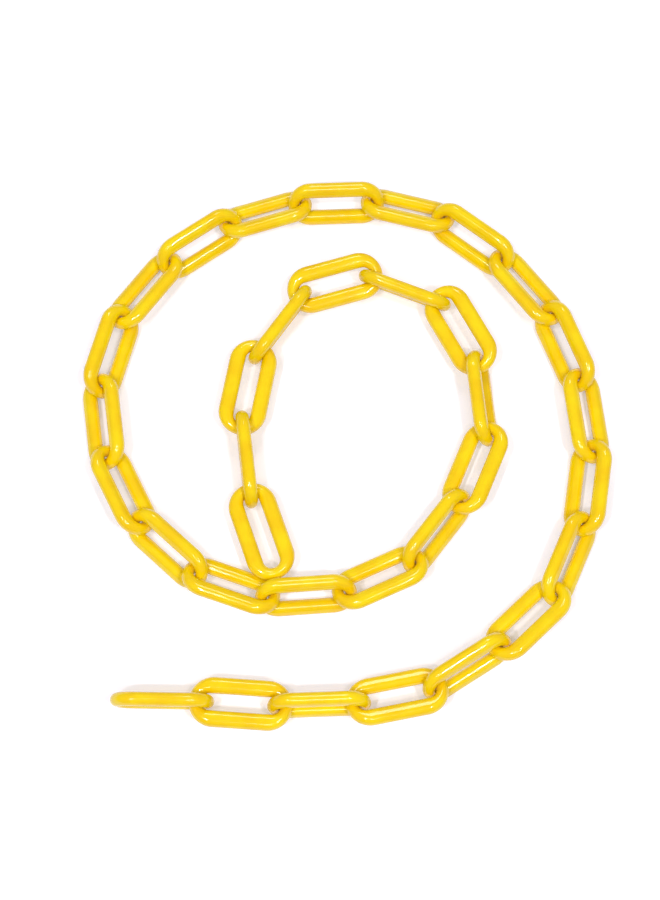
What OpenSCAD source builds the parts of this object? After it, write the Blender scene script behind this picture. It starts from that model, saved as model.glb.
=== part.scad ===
// Plastic barrier chain, laid down in a flat spiral of 34 joined oval links.
// The outer end starts at the lower left and the spiral winds inwards, counter-clockwise from above.
// Millimetres and degrees; +Z is up, and the origin is at the middle of the footprint.

/* [Link] */
// Overall length of one link
link_length = 51; // [47:0.5:60]
// Width of a side bar, measured across the link
side_bar_width = 8.1; // [6.5:0.1:9.5]
// Width of the bar round each end, measured along the link
end_bar_width = 6; // [5:0.1:7]
// Thickness of every bar, measured through the link
bar_thickness = 6.8; // [6:0.1:8]

/* [Fit] */
// Play on each side of an end bar that passes through the window of the next link
window_play = 0.8; // [0.7:0.1:1.6]
// Play between the end bars of two joined links, pulled apart
end_play = 0.6; // [0.4:0.1:1.2]

/* [Hidden] */
// Direction of each link's length, counter-clockwise from +X, from the outer end inwards.
// The last link turns further than its own direction where the ring of links round it stands in its way.
headings = [
    -1, -4, 2, 11, 32, 43, 66, 81, 97, 112, 129, 143,
    166, 182, 197, 214, 232, 254, 278, 297, 318, 341, 364, 384,
    412, 427, 456, 479, 519, 556, 594, 619, 637, 645
];
// Lean of the links about their length: the two ends of the chain lie square, the middle slants
middle_lean_angle = 35;
square_lean_angle = 90;
outer_lean_angle_step = 6.5;
inner_lean_angle_step = 3.2;

// One link: a full-round outer rim and a full-round rim round its window
rim_radius = bar_thickness / 2;
window_width = bar_thickness + 2 * window_play;
link_width = window_width + 2 * side_bar_width;
outer_run = link_length - link_width;
window_run = link_length - 2 * end_bar_width - window_width;
bar_offset = link_width / 2 - rim_radius;
// Distance of an end bar's own axis from the middle of its link
end_bar_reach = link_length / 2 - end_bar_width + rim_radius;

// The chain: the middles of two joined links are this far apart when they lie in line
pitch = link_length - 2 * end_bar_width - end_play;
last_link = len(headings) - 1;
next_to_last = last_link - 1;
// Distance from the middle of a joint to the axis of either end bar
bar_to_joint = end_bar_reach - pitch / 2;
// How far the round free end of the chain reaches in over the low inner bar of a link in the ring round it:
// as far as the last link lies clear above that bar
end_nesting = bar_offset - bar_thickness;
cut_margin = 1;
$fn = 48;

// 1 where the link's inner bar is the upper one, -1 where its outer bar is
function side(i) = i % 2 == 0 ? 1 : -1;
function lean(i) = max(
    middle_lean_angle,
    square_lean_angle - outer_lean_angle_step * i,
    square_lean_angle - inner_lean_angle_step * (last_link - i)
);
// Turn of the link about its own length
function roll(i) = side(i) > 0 ? lean(i) : lean(i) - 90;
function heading(i) = i < last_link ? headings[i] : last_heading;
function along(i) = [cos(heading(i)), sin(heading(i))];
function across(i) = [-sin(heading(i)), cos(heading(i))];

// The more upright end bar carries the bend, so the middle of each joint shifts along the chain
function shift(i) = -side(i) * bar_to_joint * cos(lean(i) + lean(i + 1));
function step(i) = (pitch / 2 + shift(i)) * along(i) + (pitch / 2 - shift(i)) * along(i + 1);
function centre(i) = i == 0 ? [0, 0] : centre(i - 1) + step(i - 1);

// The ring: the links of the last full turn, whose headings run across the last link's way
ring = [for (i = [0 : next_to_last]) if (abs(headings[next_to_last] - 270 - headings[i]) <= 90) i];
last_joint = centre(next_to_last) + (pitch / 2 + shift(next_to_last)) * along(next_to_last);
free_end_reach = pitch / 2 - shift(next_to_last) + outer_run / 2;
// Room between the last joint and a ring link, less the round free end
function room(i) = across(i) * (last_joint - centre(i)) + end_nesting
    - link_width / 2 - rim_radius - bar_offset * abs(cos(roll(i)));
// Heading at which the last link's free end keeps clear of a ring link, where it reaches that far
function clear_heading(i) = room(i) < free_end_reach
    ? headings[i] + 270 + acos(room(i) / free_end_reach)
    : headings[last_link];
last_heading = max([headings[last_link], for (i = ring) clear_heading(i)]);

// Bending a slanting joint lifts the inward-leaning link against the other
function lift(i) = bar_to_joint * (heading(i + 1) - heading(i)) * PI / 180 * sin(lean(i) + lean(i + 1));
function mean_lift(i) = (lift(max(i - 1, 0)) + lift(min(i, next_to_last))) / 2;
// Height of a link's middle when it rests on its own lower bar
function own_height(turn) = rim_radius + bar_offset * abs(sin(turn));
function height(i) = side(i) > 0
    ? max(own_height(lean(i)), own_height(lean(i) - 90) - mean_lift(i))
    : max(own_height(lean(i) - 90), own_height(lean(i)) + mean_lift(i));

// How far a link reaches from its middle in a level direction
function reach(i, direction) = outer_run / 2 * abs(along(i) * direction) + rim_radius
    + bar_offset * norm([along(i) * direction, across(i) * direction * cos(roll(i))]);
function far_side(direction) = max([for (i = [0 : last_link]) centre(i) * direction + reach(i, direction)]);
footprint_middle = [
    (far_side([1, 0]) - far_side([-1, 0])) / 2,
    (far_side([0, 1]) - far_side([0, -1])) / 2
];

// Half of the section across the outer rim, from the middle of the link outwards
module outer_section() {
    translate([bar_offset, 0]) circle(rim_radius);
    translate([0, -rim_radius]) square([bar_offset, bar_thickness]);
}

// Half of the section of the window, which its rim narrows to the window's width half-way through
module window_section() {
    difference() {
        translate([0, -rim_radius - cut_margin])
            square([window_width / 2 + rim_radius, bar_thickness + 2 * cut_margin]);
        translate([window_width / 2 + rim_radius, 0]) circle(rim_radius);
    }
}

// Carries a half section once round an oval of straight runs and half-round ends
module round_oval(run) {
    for (turn = [0, 180]) {
        rotate([90, 0, turn + 90]) linear_extrude(run, center = true) children();
        rotate(turn) translate([run / 2, 0, 0]) rotate(-90) rotate_extrude(angle = 180) children();
    }
}

module link() {
    color("gold") difference() {
        round_oval(outer_run) outer_section();
        round_oval(window_run) window_section();
    }
}

module laid_link(i) {
    place = centre(i) - footprint_middle;
    translate([place[0], place[1], height(i)]) rotate([roll(i), 0, heading(i)]) link();
}

for (i = [0 : last_link]) laid_link(i);
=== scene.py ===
"""Looks for a coiled plastic barrier chain: smooth moulded links, a pale floor and soft light."""

import math

import bmesh
import bpy
import numpy as np
from mathutils import Matrix, Vector


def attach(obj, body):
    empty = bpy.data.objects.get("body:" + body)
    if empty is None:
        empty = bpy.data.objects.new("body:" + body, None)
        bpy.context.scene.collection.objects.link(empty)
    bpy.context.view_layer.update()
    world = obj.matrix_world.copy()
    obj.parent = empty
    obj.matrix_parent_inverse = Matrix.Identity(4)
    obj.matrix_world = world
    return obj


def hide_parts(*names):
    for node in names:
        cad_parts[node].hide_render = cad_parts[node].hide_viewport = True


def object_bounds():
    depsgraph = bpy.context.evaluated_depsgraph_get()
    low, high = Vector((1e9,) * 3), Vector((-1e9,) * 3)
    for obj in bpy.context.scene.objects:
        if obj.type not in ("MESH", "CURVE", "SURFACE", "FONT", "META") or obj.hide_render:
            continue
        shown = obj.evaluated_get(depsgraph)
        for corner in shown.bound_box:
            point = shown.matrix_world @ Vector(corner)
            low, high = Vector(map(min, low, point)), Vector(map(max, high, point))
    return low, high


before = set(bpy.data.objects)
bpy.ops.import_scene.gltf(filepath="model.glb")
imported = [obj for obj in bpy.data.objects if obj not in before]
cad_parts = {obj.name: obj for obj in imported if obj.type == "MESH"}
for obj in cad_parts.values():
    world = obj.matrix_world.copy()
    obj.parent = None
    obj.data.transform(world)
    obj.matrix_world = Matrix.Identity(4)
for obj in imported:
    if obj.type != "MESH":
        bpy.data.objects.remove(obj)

MM = 0.001
cad_box = [list(corner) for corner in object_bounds()]

# The link: its length, width and thickness come from the frame's own solids
SIDE_BAR_WIDTH = 8.1 * MM
END_BAR_WIDTH = 6.0 * MM
PARTING_LINE_WIDTH = 0.45 * MM
PARTING_LINE_HEIGHT = 0.03 * MM
SECTION_STEPS = 40
RUN_STEPS = 12
BEND_STEPS = 40
TOUCHING = 0.001 * MM

# Sizes of the surface patterns, in millimetres. Rubbing scratches and paper fibres are finer than this
# in life; they are drawn this coarse so that they show.
PIGMENT_CLOUD_MM = 12
ORANGE_PEEL_MM = 1.4
SCUFF_GRAIN_MM = 0.35
PAPER_TOOTH_MM = 0.8

# The plastic's skin: its roughness, what rubbing adds to that, and how far rubbing pales the colour
SKIN_ROUGHNESS_LOW = 0.08
SKIN_ROUGHNESS_HIGH = 0.12
SCUFF_ROUGHNESS = 0.22
SCUFF_PALING = 0.35

# The camera, from the photograph's view of the coil
VIEW_TILT = math.radians(14.0)
VIEW_DISTANCE = 800 * MM
VIEW_TARGET = Vector((-7.7, -1.7, 10.0)) * MM
FOCAL_PIXELS = 1569.4
IMAGE_HEIGHT_PIXELS = 900

# Lamps: degrees round from +X, degrees up from the floor, metres across, watts
LAMP_DISTANCE = 1.5
LAMPS = {
    "left_lamp": {"azimuth": -132, "elevation": 64, "size": 0.08, "watts": 4.4},
    "right_lamp": {"azimuth": -48, "elevation": 64, "size": 0.08, "watts": 4.4},
    "high_left_lamp": {"azimuth": -150, "elevation": 74, "size": 0.08, "watts": 3.2},
    "high_right_lamp": {"azimuth": -30, "elevation": 74, "size": 0.08, "watts": 3.2},
    "front_lamp": {"azimuth": -90, "elevation": 66, "size": 0.3, "watts": 2.6},
    "back_lamp": {"azimuth": 90, "elevation": 50, "size": 0.4, "watts": 3.5},
}
SKY_STRENGTH = 0.32
# White that only the camera and reflections see: it lifts the lit floor to white and leaves the shadows.
# It rises away from the coil, where the lamps no longer reach, so that the paper runs into the white room.
FLOOR_GLOW = 0.24
SWEEP_START = 0.3
SWEEP_END = 1.2
FLOOR_SIZE = 6.0

TRAFFIC_YELLOW = "#F4D408"
DEEP_YELLOW = "#EFC504"
SCUFF_YELLOW = "#FBE482"
PALE_FLOOR = "#EBE9F5"
SKY_WHITE = "#FFFFFF"


def linear_colour(hex_colour):
    """A hex sRGB colour as linear RGBA."""
    channels = [int(hex_colour[i:i + 2], 16) / 255 for i in (1, 3, 5)]
    return [c / 12.92 if c <= 0.04045 else ((c + 0.055) / 1.055) ** 2.4 for c in channels] + [1.0]


# Materials

def new_material(name):
    material = bpy.data.materials.new(name)
    material.use_nodes = True
    material.node_tree.nodes.clear()
    return material, material.node_tree


def add_node(tree, kind, inputs=None, **settings):
    """Adds a node, sets its properties, and sets or links its inputs by name or number."""
    node = tree.nodes.new(kind)
    for key, value in settings.items():
        setattr(node, key, value)
    for key, value in (inputs or {}).items():
        if isinstance(value, bpy.types.NodeSocket):
            tree.links.new(value, node.inputs[key])
        else:
            node.inputs[key].default_value = value
    return node


def noise(tree, place, feature_mm, detail=2.0, roughness=0.5):
    """Cloudy noise whose features are about feature_mm across, from about 0.3 to 0.7."""
    settings = {"Vector": place, "Scale": 1000 / feature_mm, "Detail": detail, "Roughness": roughness}
    return add_node(tree, "ShaderNodeTexNoise", settings).outputs["Fac"]


def remap(tree, value, low, high, new_low=0.0, new_high=1.0):
    settings = {"Value": value, "From Min": low, "From Max": high, "To Min": new_low, "To Max": new_high}
    return add_node(tree, "ShaderNodeMapRange", settings).outputs["Result"]


def arithmetic(tree, operation, first, second):
    return add_node(tree, "ShaderNodeMath", {0: first, 1: second}, operation=operation).outputs[0]


def blend_colours(tree, amount, first, second):
    node = add_node(tree, "ShaderNodeMix", {0: amount, 6: first, 7: second}, data_type="RGBA")
    return node.outputs[2]


def moulded_polyethylene():
    """Injection-moulded polyethylene, dyed traffic yellow.

    The mould leaves it glossy, with a faint orange peel that breaks up the highlights. The pigment lies
    a little cloudy under a slightly waxy, see-through skin, and the links rub each other's inner ends dull.
    """
    material, tree = new_material("moulded_yellow_polyethylene")
    place = add_node(tree, "ShaderNodeTexCoord").outputs["Object"]
    cloud = remap(tree, noise(tree, place, PIGMENT_CLOUD_MM, detail=3.0), 0.35, 0.65)
    peel = noise(tree, place, ORANGE_PEEL_MM)
    grain = noise(tree, place, SCUFF_GRAIN_MM, detail=3.0, roughness=0.6)
    rubbed = add_node(tree, "ShaderNodeAttribute", attribute_name="rubbed").outputs["Fac"]
    scuff = arithmetic(tree, "MULTIPLY", rubbed, remap(tree, grain, 0.42, 0.62))

    pigment = blend_colours(tree, cloud, linear_colour(TRAFFIC_YELLOW), linear_colour(DEEP_YELLOW))
    faint_scuff = arithmetic(tree, "MULTIPLY", scuff, SCUFF_PALING)
    colour = blend_colours(tree, faint_scuff, pigment, linear_colour(SCUFF_YELLOW))
    polish = remap(tree, peel, 0.3, 0.7, SKIN_ROUGHNESS_LOW, SKIN_ROUGHNESS_HIGH)
    roughness = arithmetic(tree, "ADD", polish, arithmetic(tree, "MULTIPLY", scuff, SCUFF_ROUGHNESS))
    peel_bump = add_node(tree, "ShaderNodeBump", {"Height": peel, "Strength": 0.12, "Distance": 0.05 * MM})
    grain_bump = add_node(tree, "ShaderNodeBump", {
        "Height": scuff,
        "Strength": 0.25,
        "Distance": 0.03 * MM,
        "Normal": peel_bump.outputs["Normal"],
    })
    shader = add_node(tree, "ShaderNodeBsdfPrincipled", {
        "Base Color": colour,
        "Roughness": roughness,
        "Normal": grain_bump.outputs["Normal"],
        "IOR": 1.51,
        "Subsurface Weight": 0.06,
        "Subsurface Radius": (1.0, 0.6, 0.1),
        "Subsurface Scale": 1.6 * MM,
    })
    add_node(tree, "ShaderNodeOutputMaterial", {"Surface": shader.outputs[0]})
    return material


def seen_ray(tree):
    """1 for rays that show the studio itself, in the picture or in a reflection, and 0 for its light."""
    path = add_node(tree, "ShaderNodeLightPath").outputs
    mirrored = arithmetic(tree, "MAXIMUM", path["Is Glossy Ray"], path["Is Transmission Ray"])
    return arithmetic(tree, "MAXIMUM", path["Is Camera Ray"], mirrored)


def matt_white_paper():
    """Uncoated backdrop paper from a roll: flat, with no shine and only the faintest tooth."""
    material, tree = new_material("matt_white_paper")
    place = add_node(tree, "ShaderNodeTexCoord").outputs["Object"]
    fibre = noise(tree, place, PAPER_TOOTH_MM, detail=4.0)
    bump = add_node(tree, "ShaderNodeBump", {"Height": fibre, "Strength": 0.05, "Distance": 0.05 * MM})
    paper = add_node(tree, "ShaderNodeBsdfPrincipled", {
        "Base Color": linear_colour(PALE_FLOOR),
        "Roughness": 0.9,
        "Specular IOR Level": 0.1,
        "Normal": bump.outputs["Normal"],
    })
    distance = add_node(tree, "ShaderNodeVectorMath", {0: place}, operation="LENGTH").outputs["Value"]
    sweep = remap(tree, distance, SWEEP_START, SWEEP_END, FLOOR_GLOW, 1)
    strength = arithmetic(tree, "MULTIPLY", seen_ray(tree), sweep)
    glow = add_node(tree, "ShaderNodeEmission", {"Strength": strength})
    both = add_node(tree, "ShaderNodeAddShader", {0: paper.outputs[0], 1: glow.outputs[0]})
    add_node(tree, "ShaderNodeOutputMaterial", {"Surface": both.outputs[0]})
    return material


# The links

def link_place(node):
    """Where a link of the frame lies: its middle, its axes and its sizes along, across and through.

    Each triangle makes a tetrahedron with the origin. Their volumes give the middle, and their second
    moments the axes, as the link is longest along itself and thinnest through itself.
    """
    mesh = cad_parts[node].data
    mesh.calc_loop_triangles()
    points = np.array([v.co for v in mesh.vertices])
    corners = points[np.array([t.vertices for t in mesh.loop_triangles])]
    a, b, c = corners[:, 0], corners[:, 1], corners[:, 2]
    volume = np.einsum("ij,ij->i", a, np.cross(b, c)) / 6
    total = corners.sum(axis=1)
    middle = (volume[:, None] * total / 4).sum(axis=0) / volume.sum()
    spread = sum(np.einsum("n,ni,nj->ij", volume / 20, p, p) for p in (a, b, c, total))
    spread -= volume.sum() * np.outer(middle, middle)
    axes = np.linalg.eigh(spread)[1][:, ::-1]
    axes[:, 2] = np.cross(axes[:, 0], axes[:, 1])
    sizes = np.ptp((points - middle) @ axes, axis=0)
    return middle, axes, sizes


def side_bar_section(build, width):
    """A ring of edges round a side bar, in the plane across it."""
    ring = bmesh.ops.create_circle(build, segments=SECTION_STEPS, radius=SIDE_BAR_WIDTH / 2)["verts"]
    for vertex in ring:
        vertex.co = (0, (width - SIDE_BAR_WIDTH) / 2 + vertex.co.x, vertex.co.y)
    return ring + list(build.edges)


def carry_round_oval(build, ring, run):
    """Carries the ring along one side, round an end, back along the other side and round the other end."""
    bmesh.ops.translate(build, verts=build.verts, vec=(-run / 2, 0, 0))
    for way in (1, -1):
        step = (way * run / RUN_STEPS, 0, 0)
        end = (way * run / 2, 0, 0)
        ring = bmesh.ops.spin(build, geom=ring, axis=(0, 0, 1), dvec=step, steps=RUN_STEPS)["geom_last"]
        ring = bmesh.ops.spin(
            build, geom=ring, cent=end, axis=(0, 0, 1), angle=-math.pi, steps=BEND_STEPS
        )["geom_last"]
    bmesh.ops.remove_doubles(build, verts=build.verts, dist=TOUCHING)


def on_parting_line(vertex):
    return abs(vertex.co.z) < TOUCHING


def shape_bars(build, length, width, thickness):
    """Draws the bars in to the slim ends, and rounds them fully outside and round the window.

    Marks how much each place is rubbed: fully on the inner side of the end bars, not at all on the sides.
    """
    rim_radius = thickness / 2
    window_width = width - 2 * SIDE_BAR_WIDTH
    outer_half_run = (length - width) / 2
    window_half_run = (length - 2 * END_BAR_WIDTH - window_width) / 2
    rubbed = build.verts.layers.float.new("rubbed")
    for vertex in build.verts:
        end = math.copysign(1, vertex.co.x)
        run = min(abs(vertex.co.x) / outer_half_run, 1)
        from_run = Vector((vertex.co.x - end * run * outer_half_run, vertex.co.y, 0))
        inwards = min(max((width / 2 - from_run.length) / SIDE_BAR_WIDTH, 0), 1)
        facing = from_run.normalized()
        outer = Vector((end * run * outer_half_run, 0, 0)) + facing * width / 2
        window = Vector((end * run * window_half_run, 0, 0)) + facing * window_width / 2
        place = outer.lerp(window, inwards)
        depth = min(inwards, 1 - inwards) * (outer - window).length
        height = rim_radius * math.sqrt(1 - max(1 - depth / rim_radius, 0) ** 2)
        if on_parting_line(vertex):
            height = 0
        vertex.co = (place.x, place.y, math.copysign(height, vertex.co.z))
        vertex[rubbed] = max(0.0, 2 * inwards - 1) ** 2 * facing.x ** 2


def raise_parting_line(build):
    """The thin ridge that the two halves of the mould leave round the rim and round the window."""
    line = [edge for edge in build.edges if all(on_parting_line(vertex) for vertex in edge.verts)]
    bmesh.ops.bevel(
        build, geom=line, offset=PARTING_LINE_WIDTH / 2, affect="EDGES", segments=2, profile=0.5, material=-1
    )
    build.normal_update()
    for vertex in build.verts:
        if on_parting_line(vertex):
            vertex.co += vertex.normal * PARTING_LINE_HEIGHT


def moulded_link_mesh(length, width, thickness):
    """One link about its own middle, along X and across Y."""
    build = bmesh.new()
    ring = side_bar_section(build, width)
    carry_round_oval(build, ring, length - width)
    bmesh.ops.recalc_face_normals(build, faces=build.faces)
    shape_bars(build, length, width, thickness)
    raise_parting_line(build)
    for face in build.faces:
        face.smooth = True
    mesh = bpy.data.meshes.new("moulded_link")
    build.to_mesh(mesh)
    build.free()
    return mesh


def add_link(node, template, material):
    """The moulded link that stands for one node of the frame, in its place."""
    middle, axes, _ = link_place(node)
    mesh = template.copy()
    mesh.transform(Matrix.Translation(Vector(middle)) @ Matrix(axes.tolist()).to_4x4())
    mesh.materials.clear()
    mesh.materials.append(material)
    piece = bpy.data.objects.new("moulded_" + node, mesh)
    bpy.context.collection.objects.link(piece)
    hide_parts(node)
    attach(piece, node)


# The studio

def add_floor():
    bpy.ops.mesh.primitive_plane_add(size=FLOOR_SIZE, location=(0, 0, cad_box[0][2]))
    floor = bpy.context.object
    floor.name = "floor"
    floor.data.materials.append(matt_white_paper())


def add_lamp(name, azimuth, elevation, size, watts):
    """A square soft lamp that faces the middle of the coil."""
    level = math.cos(math.radians(elevation))
    direction = Vector((
        level * math.cos(math.radians(azimuth)),
        level * math.sin(math.radians(azimuth)),
        math.sin(math.radians(elevation)),
    ))
    lamp = bpy.data.lights.new(name, "AREA")
    lamp.shape = "SQUARE"
    lamp.size = size
    lamp.energy = watts
    holder = bpy.data.objects.new(name, lamp)
    holder.location = direction * LAMP_DISTANCE
    holder.rotation_euler = direction.to_track_quat("Z", "Y").to_euler()
    bpy.context.collection.objects.link(holder)


def add_sky():
    """A dim white room for light, which the camera sees as plain white."""
    world = bpy.data.worlds.new("white_room")
    world.use_nodes = True
    tree = world.node_tree
    in_picture = add_node(tree, "ShaderNodeLightPath").outputs["Is Camera Ray"]
    background = tree.nodes["Background"]
    background.inputs["Color"].default_value = linear_colour(SKY_WHITE)
    tree.links.new(remap(tree, in_picture, 0, 1, SKY_STRENGTH, 1), background.inputs["Strength"])
    bpy.context.scene.world = world


def add_camera():
    camera = bpy.data.cameras.new("photo_view")
    camera.sensor_fit = "VERTICAL"
    camera.angle_y = 2 * math.atan(IMAGE_HEIGHT_PIXELS / 2 / FOCAL_PIXELS)
    holder = bpy.data.objects.new("photo_view", camera)
    holder.location = VIEW_TARGET + Vector((0, -math.sin(VIEW_TILT), math.cos(VIEW_TILT))) * VIEW_DISTANCE
    holder.rotation_euler = (VIEW_TILT, 0, 0)
    bpy.context.collection.objects.link(holder)
    bpy.context.scene.camera = holder


add_camera()
plastic = moulded_polyethylene()
nodes = sorted(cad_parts)
_, _, link_sizes = link_place(nodes[0])
template = moulded_link_mesh(*link_sizes)
for node in nodes:
    add_link(node, template, plastic)
add_floor()
for name, lamp in LAMPS.items():
    add_lamp(name, **lamp)
add_sky()
bpy.context.scene.view_settings.view_transform = "Standard"
